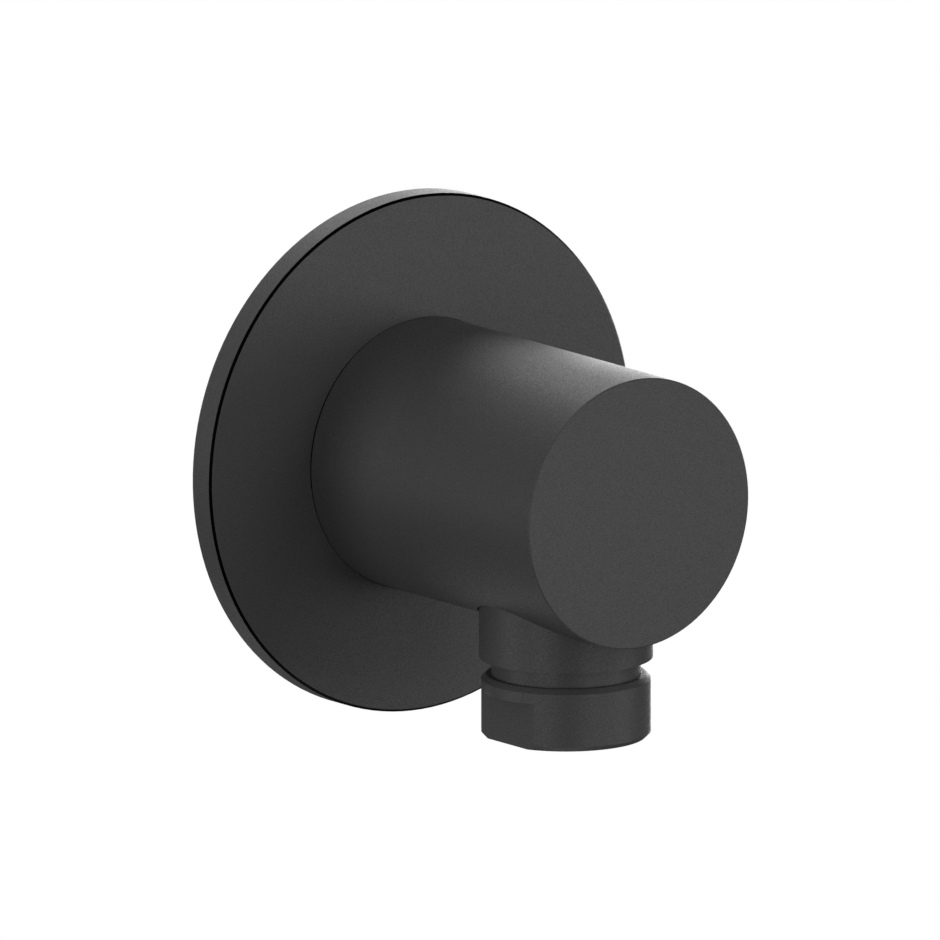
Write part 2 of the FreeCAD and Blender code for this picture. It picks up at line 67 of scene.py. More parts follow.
camera = bpy.data.objects.new("camera", bpy.data.cameras.new("camera"))
camera.data.type = "ORTHO"
camera.data.ortho_scale = PICTURE_WIDTH
camera.data.clip_start = 0.01
camera.data.clip_end = 10
camera.location = aim + CAMERA_DISTANCE * to_camera
camera.rotation_mode = "QUATERNION"
camera.rotation_quaternion = to_camera.to_track_quat("Z", "Y")
bpy.context.scene.collection.objects.link(camera)
bpy.context.scene.camera = camera

# Studio: a room that the camera and clear surfaces see white, with soft round lamps all
# round the fitting. Coats and metal get the room's light dimly, and see it dimly as well,
# because a brighter room would lighten the coat's left side, which is nearly black.
bpy.context.scene.view_settings.view_transform = "Standard"
ROOM_LIGHT = 0.1
ROOM_REFLECTED = 0.1
ROOM_SEEN = 1

room = bpy.data.worlds.new("white room")
bpy.context.scene.world = room
room.use_nodes = True
web, join = room.node_tree.nodes, room.node_tree.links
web.clear()
rays = web.new("ShaderNodeLightPath")
lit = web.new("ShaderNodeBackground")
lit.inputs["Strength"].default_value = ROOM_LIGHT
mirrored = web.new("ShaderNodeBackground")
mirrored.inputs["Strength"].default_value = ROOM_REFLECTED
seen = web.new("ShaderNodeBackground")
seen.inputs["Strength"].default_value = ROOM_SEEN
for background in (lit, mirrored, seen):
    background.inputs["Color"].default_value = (1, 1, 1, 1)
by_gloss = web.new("ShaderNodeMixShader")
by_camera = web.new("ShaderNodeMixShader")
clear_or_camera = web.new("ShaderNodeMath")
clear_or_camera.operation = "MAXIMUM"
join.new(rays.outputs["Is Camera Ray"], clear_or_camera.inputs[0])
join.new(rays.outputs["Is Transmission Ray"], clear_or_camera.inputs[1])
join.new(rays.outputs["Is Glossy Ray"], by_gloss.inputs["Fac"])
join.new(lit.outputs[0], by_gloss.inputs[1])
join.new(mirrored.outputs[0], by_gloss.inputs[2])
join.new(clear_or_camera.outputs[0], by_camera.inputs["Fac"])
join.new(by_gloss.outputs[0], by_camera.inputs[1])
join.new(seen.outputs[0], by_camera.inputs[2])
room_out = web.new("ShaderNodeOutputWorld")
join.new(by_camera.outputs[0], room_out.inputs["Surface"])

# Each lamp's place in degrees, round the fitting from its front and up, and its watts.
LAMPS = {
    "front": (0, 0, 1.6),
    "front right": (45, 0, 1.8),
    "front right above": (30, 32, 1.9),
    "right": (113, 0, 0.4),
    "right behind": (135, 0, 4.0),
    "right behind above": (150, 32, 2.0),
    "behind": (180, 0, 1.85),
    "behind above": (180, 32, 0.88),
    "behind below": (180, -32, 0.35),
    "left front": (-67, 0, 1.85),
    "left front high": (-45, 62, 1.7),
    "left behind": (-113, 0, 1.68),
    "left behind above": (-120, 32, 0.7),
    "below": (0, -90, 1.0),
}
LAMP_SIZE = 0.6
LIT_POINT = Vector((0, -20 * MM, 0))
for name, (turned, height, power) in LAMPS.items():
    turned, height = math.radians(turned), math.radians(height)
    side = Vector((
        math.sin(turned) * math.cos(height),
        -math.cos(turned) * math.cos(height),
        math.sin(height),
    ))
    lamp = bpy.data.objects.new(name, bpy.data.lights.new(name, "AREA"))
    lamp.data.shape = "DISK"
    lamp.data.size = LAMP_SIZE
    lamp.data.energy = power
    lamp.location = LIT_POINT + side
    lamp.rotation_mode = "QUATERNION"
    lamp.rotation_quaternion = side.to_track_quat("Z", "Y")
    lamp.visible_camera = False
    bpy.context.scene.collection.objects.link(lamp)

# Floor: a pale sheet well below the fitting. Seen by the camera it glows nearly white, and
# the part of it that doesn't glow still takes the fitting's shadow. It isn't reflected in
# the fitting, and throws neither light nor shadow on it.
def new_material(name):
    """A material with a Principled BSDF and its nodes, ready for a finish."""
    material = bpy.data.materials.new(name)
    material.use_nodes = True
    tree = material.node_tree
    return material, tree.nodes, tree.links, tree.nodes["Principled BSDF"]


FLOOR_DROP = 0.3
FLOOR_HALF_WIDTH = 0.7
FLOOR_COLOUR = (0.85, 0.85, 0.85)
FLOOR_ROUGHNESS = 0.9
FLOOR_GLOW = 0.8

corners = [(-1, -1), (1, -1), (1, 1), (-1, 1)]
floor_mesh = bpy.data.meshes.new("floor")
floor_mesh.from_pydata(
    [(x * FLOOR_HALF_WIDTH, y * FLOOR_HALF_WIDTH, -FLOOR_DROP) for x, y in corners],
    [],
    [(0, 1, 2, 3)],
)
floor = bpy.data.objects.new("floor", floor_mesh)
bpy.context.scene.collection.objects.link(floor)
pale, parts, wires, finish = new_material("pale floor")
finish.inputs["Base Color"].default_value = (*FLOOR_COLOUR, 1)
finish.inputs["Roughness"].default_value = FLOOR_ROUGHNESS
rays = parts.new("ShaderNodeLightPath")
share = parts.new("ShaderNodeMath")
share.operation = "MULTIPLY"
share.inputs[1].default_value = FLOOR_GLOW
glow = parts.new("ShaderNodeEmission")
blend = parts.new("ShaderNodeMixShader")
wires.new(rays.outputs["Is Camera Ray"], share.inputs[0])
wires.new(share.outputs[0], blend.inputs["Fac"])
wires.new(finish.outputs[0], blend.inputs[1])
wires.new(glow.outputs[0], blend.inputs[2])
wires.new(blend.outputs[0], parts["Material Output"].inputs["Surface"])
floor.data.materials.append(pale)
floor.visible_diffuse = False
floor.visible_glossy = False
floor.visible_shadow = False

# Elbow body: a solid brass bar turned round, bored from the back for the wall nipple and
# from below for the outlet, then coated a fine matte black. The coat doesn't reach into
# its bores, where the brass is bare.
def dress(node, material):
    """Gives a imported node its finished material."""
    nodes[node].data.materials.clear()
    nodes[node].data.materials.append(material)


def ask(group, **sizes):
    """Named inputs of a node group, numbers with the value that they start from."""
    for name, value in sizes.items():
        kind = "NodeSocketInt" if isinstance(value, int) else "NodeSocketFloat"
        name = name.replace("_", " ").title()
        group.interface.new_socket(name, in_out="INPUT", socket_type=kind).default_value = value


def work(parts, wires, operation, *inputs):
    """A Math node on numbers or other nodes' outputs, giving its own output."""
    node = parts.new("ShaderNodeMath")
    node.operation = operation
    for socket, value in zip(node.inputs, inputs):
        if isinstance(value, (int, float)):
            socket.default_value = value
        else:
            wires.new(value, socket)
    return node.outputs[0]


grain = bpy.data.node_groups.new("grain and clouding", "ShaderNodeTree")
ask(grain, grain_size=0.0002, cloud_size=0.006)
for name in ("Grain", "Clouding"):
    grain.interface.new_socket(name, in_out="OUTPUT", socket_type="NodeSocketFloat")
parts, wires = grain.nodes, grain.links
given = parts.new("NodeGroupInput")
result = parts.new("NodeGroupOutput")
place = parts.new("ShaderNodeTexCoord")
askew = parts.new("ShaderNodeMapping")
askew.inputs["Rotation"].default_value = (0.6, 0.4, 0.8)
wires.new(place.outputs["Object"], askew.inputs["Vector"])
for size, detail, out in (("Grain Size", 2, "Grain"), ("Cloud Size", 1, "Clouding")):
    noise = parts.new("ShaderNodeTexNoise")
    noise.inputs["Detail"].default_value = detail
    wires.new(askew.outputs[0], noise.inputs["Vector"])
    wires.new(work(parts, wires, "DIVIDE", 1, given.outputs[size]), noise.inputs["Scale"])
    wires.new(noise.outputs["Fac"], result.inputs[out])

around = bpy.data.node_groups.new("place round an axis", "ShaderNodeTree")
around.interface.new_socket("Place", in_out="INPUT", socket_type="NodeSocketVector")
ask(around, inside=0.01, above=-0.1, below=0.1, mark_spacing=0.0002)
for name in ("Inside", "Turning Marks"):
    around.interface.new_socket(name, in_out="OUTPUT", socket_type="NodeSocketFloat")
parts, wires = around.nodes, around.links
given = parts.new("NodeGroupInput")
result = parts.new("NodeGroupOutput")
apart = parts.new("ShaderNodeSeparateXYZ")
wires.new(given.outputs["Place"], apart.inputs[0])
radius = work(
    parts, wires, "SQRT",
    work(
        parts, wires, "ADD",
        work(parts, wires, "MULTIPLY", apart.outputs["X"], apart.outputs["X"]),
        work(parts, wires, "MULTIPLY", apart.outputs["Y"], apart.outputs["Y"]),
    ),
)
height = apart.outputs["Z"]
within = work(parts, wires, "LESS_THAN", radius, given.outputs["Inside"])
over = work(parts, wires, "GREATER_THAN", height, given.outputs["Above"])
under = work(parts, wires, "LESS_THAN", height, given.outputs["Below"])
both = work(parts, wires, "MULTIPLY", over, under)
wires.new(work(parts, wires, "MULTIPLY", within, both), result.inputs["Inside"])
section = parts.new("ShaderNodeCombineXYZ")
for size, out in ((radius, "X"), (height, "Y")):
    spaced = work(parts, wires, "DIVIDE", size, given.outputs["Mark Spacing"])
    wires.new(spaced, section.inputs[out])
rings = parts.new("ShaderNodeTexNoise")
rings.noise_dimensions = "2D"
rings.inputs["Scale"].default_value = 1
rings.inputs["Detail"].default_value = 3
wires.new(section.outputs[0], rings.inputs["Vector"])
wires.new(rings.outputs["Fac"], result.inputs["Turning Marks"])


def add_grain(parts, grain_size=0.0002, cloud_size=0.006):
    """The grain group in a material, with this material's own sizes in metres."""
    group = parts.new("ShaderNodeGroup")
    group.node_tree = grain
    group.inputs["Grain Size"].default_value = grain_size
    group.inputs["Cloud Size"].default_value = cloud_size
    return group


def add_axis(parts, wires, axis, inside=1.0, above=-1.0, below=1.0, mark_spacing=0.0002):
    """Where a point lies round an axis, "wall" along Y, "outlet" and "screw" along Z."""
    place = parts.new("ShaderNodeTexCoord")
    turned = parts.new("ShaderNodeMapping")
    if axis == "wall":
        turned.inputs["Rotation"].default_value = (math.pi / 2, 0, 0)
    else:
        from_wall = {"outlet": OUTLET_FROM_WALL, "screw": SCREW_FROM_WALL}[axis]
        turned.inputs["Location"].default_value = (0, from_wall, 0)
    wires.new(place.outputs["Object"], turned.inputs["Vector"])
    group = parts.new("ShaderNodeGroup")
    group.node_tree = around
    wires.new(turned.outputs[0], group.inputs["Place"])
    sizes = {"Inside": inside, "Above": above, "Below": below, "Mark Spacing": mark_spacing}
    for name, value in sizes.items():
        group.inputs[name].default_value = value
    return group


NOISE_SPAN = (0.3, 0.7)


def vary(parts, wires, factor, low, high, out=None):
    """A colour or value that runs from low to high over the span that noise covers."""
    ramp = parts.new("ShaderNodeValToRGB")
    for element, where, tone in zip(ramp.color_ramp.elements, NOISE_SPAN, (low, high)):
        element.position = where
        element.color = (*tone, 1) if isinstance(tone, tuple) else (tone, tone, tone, 1)
    wires.new(factor, ramp.inputs["Fac"])
    if out is not None:
        wires.new(ramp.outputs["Color"], out)
    return ramp.outputs["Color"]


def choose(parts, wires, mask, without, within, out=None):
    """One of two colours or values, by a mask of 0 or 1."""
    mix = parts.new("ShaderNodeMix")
    mix.data_type = "RGBA"
    colour_a, colour_b, blended = mix.inputs[6], mix.inputs[7], mix.outputs[2]
    wires.new(mask, mix.inputs["Factor"])
    for socket, value in ((colour_a, without), (colour_b, within)):
        if isinstance(value, tuple):
            socket.default_value = (*value, 1)
        elif isinstance(value, (int, float)):
            socket.default_value = (value, value, value, 1)
        else:
            wires.new(value, socket)
    if out is not None:
        wires.new(blended, out)
    return blended


def raise_surface(parts, wires, height, depth, finish):
    """Bump from a height of 0 to 1 that is depth metres tall."""
    bump = parts.new("ShaderNodeBump")
    bump.inputs["Distance"].default_value = depth
    wires.new(height, bump.inputs["Height"])
    wires.new(bump.outputs["Normal"], finish.inputs["Normal"])


OUTLET_FROM_WALL = 33.5 * MM
SCREW_FROM_WALL = 7.6 * MM
COAT_DARK = (0.035, 0.035, 0.035)
COAT_PALE = (0.065, 0.065, 0.065)
COAT_ROUGHNESS = (0.67, 0.345)
COAT_GRAIN = 0.15 * MM
COAT_GRAIN_DEPTH = 0.008 * MM
BRASS_DULL = (0.66, 0.49, 0.23)
BRASS_BRIGHT = (0.76, 0.59, 0.31)
BRASS_ROUGHNESS = (0.28, 0.42)


def coated(name, axis, inside, above, below):
    """Matte black coat, and bare turned brass within a radius of an axis. The coat's paler
    grains are smoother, so that its highlights are grainy too."""
    material, parts, wires, finish = new_material(name)
    texture = add_grain(parts, grain_size=COAT_GRAIN)
    bored = add_axis(parts, wires, axis, inside, above, below)
    bare = bored.outputs["Inside"]
    marks = bored.outputs["Turning Marks"]
    black = vary(parts, wires, texture.outputs["Grain"], COAT_DARK, COAT_PALE)
    brass = vary(parts, wires, marks, BRASS_DULL, BRASS_BRIGHT)
    choose(parts, wires, bare, black, brass, finish.inputs["Base Color"])
    matte = vary(parts, wires, texture.outputs["Grain"], *COAT_ROUGHNESS)
    turned = vary(parts, wires, marks, *BRASS_ROUGHNESS)
    choose(parts, wires, bare, matte, turned, finish.inputs["Roughness"])
    wires.new(bare, finish.inputs["Metallic"])
    relief = choose(parts, wires, bare, texture.outputs["Grain"], marks)
    raise_surface(parts, wires, relief, COAT_GRAIN_DEPTH, finish)
    return material


def add_band(parts, wires, inner, outer, above, below):
    """A mask between two radii round the wall axis and two places along it."""
    outside = add_axis(parts, wires, "wall", inner, above, below)
    within = add_axis(parts, wires, "wall", outer, above, below)
    return work(parts, wires, "SUBTRACT", within.outputs["Inside"], outside.outputs["Inside"])


# The black of painted shade, for the rosette's bevel and the seam round the body.
SHADE_BLACK = (0.002, 0.002, 0.002)


def paint_shade_black(material, mask):
    """Paints shade: makes a finish quite black and without shine where the mask is 1."""
    parts, wires = material.node_tree.nodes, material.node_tree.links
    finish = parts["Principled BSDF"]
    coat = finish.inputs["Base Color"].links[0].from_socket
    choose(parts, wires, mask, coat, SHADE_BLACK, finish.inputs["Base Color"])
    if finish.inputs["Metallic"].is_linked:
        bare = finish.inputs["Metallic"].links[0].from_socket
        mask = work(parts, wires, "MAXIMUM", bare, mask)
    wires.new(mask, finish.inputs["Metallic"])


# Painted shade: the seam round the body, just in front of the rosette, is painted as a black
# hairline of shade, widest at the left and gone at the top and at the right. It is drawn
# between the rosette's front and a plane that leans against it, towards the turn set below.
SEAM_SHADE_TURNED = math.radians(164)
SEAM_SHADE_REACH = 0.45 * MM
SEAM_SHADE_CUT = 0.3 * MM
BODY_RADIUS = 17 * MM
ROSETTE_FRONT = -3.6 * MM

body_coat = coated(
    "coat on the body", "wall", inside=16.6 * MM, above=-48.2 * MM, below=-0.8 * MM,
)
parts, wires = body_coat.node_tree.nodes, body_coat.node_tree.links
place = parts.new("ShaderNodeTexCoord")
lean = parts.new("ShaderNodeVectorMath")
lean.operation = "DOT_PRODUCT"
lean.inputs[1].default_value = (
    SEAM_SHADE_REACH / BODY_RADIUS * math.cos(SEAM_SHADE_TURNED),
    1,
    SEAM_SHADE_REACH / BODY_RADIUS * math.sin(SEAM_SHADE_TURNED),
)
wires.new(place.outputs["Object"], lean.inputs[0])
seam_shade_side = work(parts, wires, "GREATER_THAN", lean.outputs["Value"], ROSETTE_FRONT + SEAM_SHADE_CUT)
seam_shade_band = add_band(
    parts, wires, inner=BODY_RADIUS - 0.1 * MM, outer=BODY_RADIUS + 0.1 * MM,
    above=ROSETTE_FRONT - 0.4 * MM, below=ROSETTE_FRONT + 0.2 * MM,
)
# Paints the seam's hairline of shade black.
paint_shade_black(body_coat, work(parts, wires, "MULTIPLY", seam_shade_side, seam_shade_band))
dress("elbow_body", body_coat)

# Rosette: a shallow brass dish, turned, coated inside and out, and pushed on over the body
# against the wall. Its front edge is broken by a narrow bevel, whose coat is painted quite
# black and without shine, as painted shade.
rosette, parts, wires, finish = new_material("coat on the rosette")
texture = add_grain(parts, grain_size=COAT_GRAIN)
vary(parts, wires, texture.outputs["Grain"], COAT_DARK, COAT_PALE, finish.inputs["Base Color"])
vary(parts, wires, texture.outputs["Grain"], *COAT_ROUGHNESS, finish.inputs["Roughness"])
raise_surface(parts, wires, texture.outputs["Grain"], COAT_GRAIN_DEPTH, finish)
bevel_shade = add_band(
    parts, wires, inner=32.18 * MM, outer=33 * MM, above=-4 * MM, below=-3.28 * MM,
)
# Paints the bevel's band black, as painted shade.
paint_shade_black(rosette, bevel_shade)
dress("wall_rosette", rosette)

# Wall nipple: turned brass with a G1/2 thread for the pipe in the wall, a flange, and a
# spigot that the elbow is pushed onto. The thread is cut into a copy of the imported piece,
# in place of its plain thread cylinder.
TARNISH_DULL = (0.58, 0.41, 0.19)
TARNISH_BRIGHT = (0.66, 0.48, 0.24)
TARNISH_SPOTS = 5 * MM
BRASS_MARK_SPACING = 0.15 * MM
BRASS_MARK_DEPTH = 0.004 * MM

brass, parts, wires, finish = new_material("turned brass")
turning = add_axis(parts, wires, "wall", mark_spacing=BRASS_MARK_SPACING)
texture = add_grain(parts, cloud_size=TARNISH_SPOTS)
marks = turning.outputs["Turning Marks"]
clear = vary(parts, wires, marks, BRASS_DULL, BRASS_BRIGHT)
tarnished = vary(parts, wires, marks, TARNISH_DULL, TARNISH_BRIGHT)
spots = vary(parts, wires, texture.outputs["Clouding"], 0.0, 1.0)
choose(parts, wires, spots, clear, tarnished, finish.inputs["Base Color"])
vary(parts, wires, marks, *BRASS_ROUGHNESS, finish.inputs["Roughness"])
finish.inputs["Metallic"].default_value = 1
raise_surface(parts, wires, marks, BRASS_MARK_DEPTH, finish)

WELD = 1e-7
SHORTEST_RUN_OUT = 1e-7

thread_tree = bpy.data.node_groups.new("cut thread", "GeometryNodeTree")
ask(
    thread_tree, crest_radius=0.01, tip_radius=0.009, depth=0.001, pitch=0.0018,
    length=0.012, run_out=0.0, around=160, rows=90,
)
thread_tree.interface.new_socket("Material", in_out="INPUT", socket_type="NodeSocketMaterial")
thread_tree.interface.new_socket("Geometry", in_out="OUTPUT", socket_type="NodeSocketGeometry")
parts, wires = thread_tree.nodes, thread_tree.links
given = parts.new("NodeGroupInput").outputs

# A flat sheet is rolled up: its X gives the turn, its Y the height, and the radius dips by
# the thread's depth wherever that height lies between two crests.
sheet = parts.new("GeometryNodeMeshGrid")
for size in ("Size X", "Size Y"):
    sheet.inputs[size].default_value = 1
wires.new(given["Around"], sheet.inputs["Vertices X"])
wires.new(given["Rows"], sheet.inputs["Vertices Y"])
apart = parts.new("ShaderNodeSeparateXYZ")
wires.new(parts.new("GeometryNodeInputPosition").outputs[0], apart.inputs[0])
turn_share = work(parts, wires, "ADD", apart.outputs["X"], 0.5)
height_share = work(parts, wires, "ADD", apart.outputs["Y"], 0.5)
height = work(parts, wires, "MULTIPLY", height_share, given["Length"])
pitches = work(parts, wires, "DIVIDE", height, given["Pitch"])
phase = work(parts, wires, "FRACT", work(parts, wires, "SUBTRACT", pitches, turn_share))
flank = work(parts, wires, "ABSOLUTE", work(parts, wires, "MULTIPLY_ADD", phase, 2, -1))
rounded = parts.new("ShaderNodeMapRange")
rounded.interpolation_type = "SMOOTHSTEP"
wires.new(flank, rounded.inputs["Value"])
run_out = work(parts, wires, "MAXIMUM", given["Run Out"], SHORTEST_RUN_OUT)
fading = work(parts, wires, "DIVIDE", height, run_out)
bite = work(parts, wires, "MULTIPLY", given["Depth"], work(parts, wires, "MINIMUM", fading, 1))
groove = work(parts, wires, "MULTIPLY", bite, rounded.outputs["Result"])
ridge = work(parts, wires, "SUBTRACT", given["Crest Radius"], groove)
to_tip = work(parts, wires, "SUBTRACT", given["Length"], height)
lead = work(parts, wires, "ADD", given["Tip Radius"], to_tip)
radius = work(parts, wires, "MINIMUM", ridge, lead)
angle = work(parts, wires, "MULTIPLY", turn_share, 2 * math.pi)
point = parts.new("ShaderNodeCombineXYZ")
for wave, out in (("COSINE", "X"), ("SINE", "Y")):
    share = work(parts, wires, wave, angle)
    wires.new(work(parts, wires, "MULTIPLY", radius, share), point.inputs[out])
wires.new(height, point.inputs["Z"])
shaped = parts.new("GeometryNodeSetPosition")
wires.new(sheet.outputs["Mesh"], shaped.inputs["Geometry"])
wires.new(point.outputs[0], shaped.inputs["Position"])
closed = parts.new("GeometryNodeMergeByDistance")
closed.inputs["Distance"].default_value = WELD
wires.new(shaped.outputs[0], closed.inputs["Geometry"])
real = parts.new("GeometryNodeRealizeInstances")
wires.new(closed.outputs[0], real.inputs[0])
finished = parts.new("GeometryNodeSetMaterial")
wires.new(real.outputs[0], finished.inputs["Geometry"])
wires.new(given["Material"], finished.inputs["Material"])
wires.new(finished.outputs[0], parts.new("NodeGroupOutput").inputs[0])


def grow(name, tree, material, **sizes):
    """Runs a geometry tree with these sizes and keeps its result as a plain mesh."""
    piece = bpy.data.objects.new(name, bpy.data.meshes.new(name))
    bpy.context.scene.collection.objects.link(piece)
    made = piece.modifiers.new("shape", "NODES")
    made.node_group = tree
    sizes = {key.replace("_", " ").title(): value for key, value in sizes.items()}
    sizes["Material"] = material
    for socket in tree.interface.items_tree:
        if socket.in_out == "INPUT" and socket.name in sizes:
            made[socket.identifier] = sizes[socket.name]
    result = piece.evaluated_get(bpy.context.evaluated_depsgraph_get())
    mesh = bpy.data.meshes.new_from_object(result)
    piece.modifiers.clear()
    piece.data = mesh
    return piece


SHARP_EDGE = math.radians(32)


def fit(piece, node, body):
    """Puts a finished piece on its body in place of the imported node."""
    for face in piece.data.polygons:
        face.use_smooth = True
    piece.data.set_sharp_from_angle(angle=SHARP_EDGE)
    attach(piece, body)
    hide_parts(node)


CAD_WELD = 0.0005 * MM


def cut_thread(node, place, neck, material, slot, **sizes):
    """A copy of the node with a thread cut in it. place carries the thread, which climbs +Z
    from 0, onto the piece; neck is the radius of the neck or edge that it starts from."""
    crest, tip, length = sizes["crest_radius"], sizes["tip_radius"], sizes["length"]
    near = 0.004 * MM

    def on_blank(vertex):
        x, y, z = vertex.co
        radius = math.hypot(x, y)
        blank_radius = min(crest, tip + length - z)
        on_side = -near < z < length + near and abs(radius - blank_radius) < near
        on_end = abs(z) < near and neck - near < radius < crest + near
        return on_side or on_end

    thread = grow(node + "_thread", thread_tree, material, **sizes)
    shape = bmesh.new()
    shape.from_mesh(nodes[node].data)
    bmesh.ops.remove_doubles(shape, verts=shape.verts, dist=CAD_WELD)
    shape.transform(place.inverted())
    blank = [
        face for face in shape.faces
        if all(map(on_blank, face.verts)) and min(v.co.z for v in face.verts) < length - near
    ]
    bmesh.ops.delete(shape, geom=blank, context="FACES")
    shape.from_mesh(thread.data)
    rim = [edge for edge in shape.edges if edge.is_boundary]
    low = [edge for edge in rim if edge.verts[0].co.z < length / 2]
    high = [edge for edge in rim if edge.verts[0].co.z > length / 2]
    for loops in (low, high):
        bmesh.ops.bridge_loops(shape, edges=loops)
    bmesh.ops.recalc_face_normals(shape, faces=shape.faces)
    shape.transform(place)
    shape.to_mesh(thread.data)
    shape.free()
    if "custom_normal" in thread.data.attributes:
        thread.data.attributes.remove(thread.data.attributes["custom_normal"])
    thread.data.materials.clear()
    thread.data.materials.append(material)
    for face in thread.data.polygons:
        face.material_index = 0
    thread.name = node + "_threaded"
    fit(thread, node, "fitting")
    return thread


WALL_AXIS = Matrix.Rotation(-math.pi / 2, 4, "X")
cut_thread(
    "wall_nipple", place=WALL_AXIS, neck=9.1775 * MM, material=brass, slot="bare_brass",
    crest_radius=10.4775 * MM, tip_radius=9.2775 * MM, depth=1.162 * MM,
    pitch=1.814 * MM, length=12 * MM, around=160, rows=121,
)

# Outlet nipple: turned brass, screwed up into the body on a G3/8 thread, coated outside.
# Its smooth collar carries the hose nut and has two spanner flats.
coat_on_nipple = coated(
    "coat on the outlet nipple", "outlet", inside=8.9 * MM, above=-30.3 * MM, below=0,
)
cut_thread(
    "outlet_nipple", place=Matrix.Translation((0, -OUTLET_FROM_WALL, -9.66 * MM)),
    neck=7.501 * MM, material=coat_on_nipple, slot="black_coated_brass",
    crest_radius=8.331 * MM, tip_radius=7.631 * MM, depth=0.8 * MM,
    pitch=1.337 * MM, length=5.16 * MM, around=160, rows=61,
)

# Grub screw: stainless steel, M5, run up through the underside of the body so that its
# cone sits in the notch of the spigot. Its hexagon socket is all that shows from below.
STEEL_DARK = (0.50, 0.50, 0.51)
STEEL_PALE = (0.60, 0.60, 0.61)
STEEL_ROUGHNESS = (0.24, 0.38)
STEEL_MARK_SPACING = 0.08 * MM
STEEL_MARK_DEPTH = 0.003 * MM


def turned_steel(name, axis):
    """Stainless steel with fine marks of turning or drawing round an axis."""
    material, parts, wires, finish = new_material(name)
    turning = add_axis(parts, wires, axis, mark_spacing=STEEL_MARK_SPACING)
    marks = turning.outputs["Turning Marks"]
    vary(parts, wires, marks, STEEL_DARK, STEEL_PALE, finish.inputs["Base Color"])
    vary(parts, wires, marks, *STEEL_ROUGHNESS, finish.inputs["Roughness"])
    finish.inputs["Metallic"].default_value = 1
    raise_surface(parts, wires, marks, STEEL_MARK_DEPTH, finish)
    return material


cut_thread(
    "grub_screw", place=Matrix.Translation((0, -SCREW_FROM_WALL, -16.6 * MM)),
    neck=2.5 * MM, material=turned_steel("steel of the screw", "screw"),
    slot="stainless_steel",
    crest_radius=2.5 * MM, tip_radius=0.9 * MM, depth=0.49 * MM,
    pitch=0.8 * MM, length=6 * MM, run_out=0.5 * MM, around=72, rows=91,
)

# Seal rings: five O-rings of black rubber, lightly greased, in grooves round the spigot,
# the outlet nipple, the valve and the rosette's bore. One tree sweeps each of them, and
# the flat rings too, round its axis.
RUBBER_DARK = (0.024, 0.024, 0.025)
RUBBER_PALE = (0.036, 0.036, 0.037)
RUBBER_ROUGHNESS = (0.42, 0.6)
RUBBER_GRAIN_DEPTH = 0.005 * MM

rubber, parts, wires, finish = new_material("black rubber")
texture = add_grain(parts, grain_size=0.12 * MM, cloud_size=2.5 * MM)
grease = texture.outputs["Clouding"]
vary(parts, wires, grease, RUBBER_DARK, RUBBER_PALE, finish.inputs["Base Color"])
vary(parts, wires, grease, *RUBBER_ROUGHNESS, finish.inputs["Roughness"])
raise_surface(parts, wires, texture.outputs["Grain"], RUBBER_GRAIN_DEPTH, finish)

ring_tree = bpy.data.node_groups.new("swept ring", "GeometryNodeTree")
ask(
    ring_tree, ring_radius=0.01, width=0.002, thickness=0.002, corner=0.001, pitting=0.0,
    around=96, corner_steps=6,
)
ring_tree.interface.new_socket("Material", in_out="INPUT", socket_type="NodeSocketMaterial")
ring_tree.interface.new_socket("Geometry", in_out="OUTPUT", socket_type="NodeSocketGeometry")
parts, wires = ring_tree.nodes, ring_tree.links
given = parts.new("NodeGroupInput").outputs
path = parts.new("GeometryNodeCurvePrimitiveCircle")
wires.new(given["Ring Radius"], path.inputs["Radius"])
wires.new(given["Around"], path.inputs["Resolution"])
outline = parts.new("GeometryNodeCurvePrimitiveQuadrilateral")
wires.new(given["Width"], outline.inputs["Width"])
wires.new(given["Thickness"], outline.inputs["Height"])
softened = parts.new("GeometryNodeFilletCurve")
softened.mode = "POLY"
softened.inputs["Limit Radius"].default_value = True
wires.new(outline.outputs[0], softened.inputs["Curve"])
wires.new(given["Corner"], softened.inputs["Radius"])
wires.new(given["Corner Steps"], softened.inputs["Count"])
swept = parts.new("GeometryNodeCurveToMesh")
wires.new(path.outputs[0], swept.inputs["Curve"])
wires.new(softened.outputs[0], swept.inputs["Profile Curve"])
merged = parts.new("GeometryNodeMergeByDistance")
merged.inputs["Distance"].default_value = WELD
wires.new(swept.outputs[0], merged.inputs["Geometry"])
PITS_A_METRE = 900
pits = parts.new("ShaderNodeTexNoise")
pits.inputs["Scale"].default_value = PITS_A_METRE
pit_depth = work(parts, wires, "MULTIPLY", pits.outputs["Fac"], given["Pitting"])
sunk = work(parts, wires, "MULTIPLY", pit_depth, -1)
inwards = parts.new("ShaderNodeVectorMath")
inwards.operation = "SCALE"
wires.new(parts.new("GeometryNodeInputNormal").outputs[0], inwards.inputs[0])
wires.new(sunk, inwards.inputs["Scale"])
pitted = parts.new("GeometryNodeSetPosition")
wires.new(merged.outputs[0], pitted.inputs["Geometry"])
wires.new(inwards.outputs[0], pitted.inputs["Offset"])
real = parts.new("GeometryNodeRealizeInstances")
wires.new(pitted.outputs[0], real.inputs[0])
finished = parts.new("GeometryNodeSetMaterial")
wires.new(real.outputs[0], finished.inputs["Geometry"])
wires.new(given["Material"], finished.inputs["Material"])
wires.new(finished.outputs[0], parts.new("NodeGroupOutput").inputs[0])


def add_ring(node, name, axis, along, material, slot, body="fitting", **sizes):
    """One ring, its middle at a distance along the wall axis (Y) or the outlet axis (Z)."""
    ring = grow(name, ring_tree, material, **sizes)
    if axis == "wall":
        ring.data.transform(Matrix.Translation((0, along, 0)) @ WALL_AXIS)
    else:
        ring.data.transform(Matrix.Translation((0, -OUTLET_FROM_WALL, along)))
    fit(ring, node, body)
    return ring


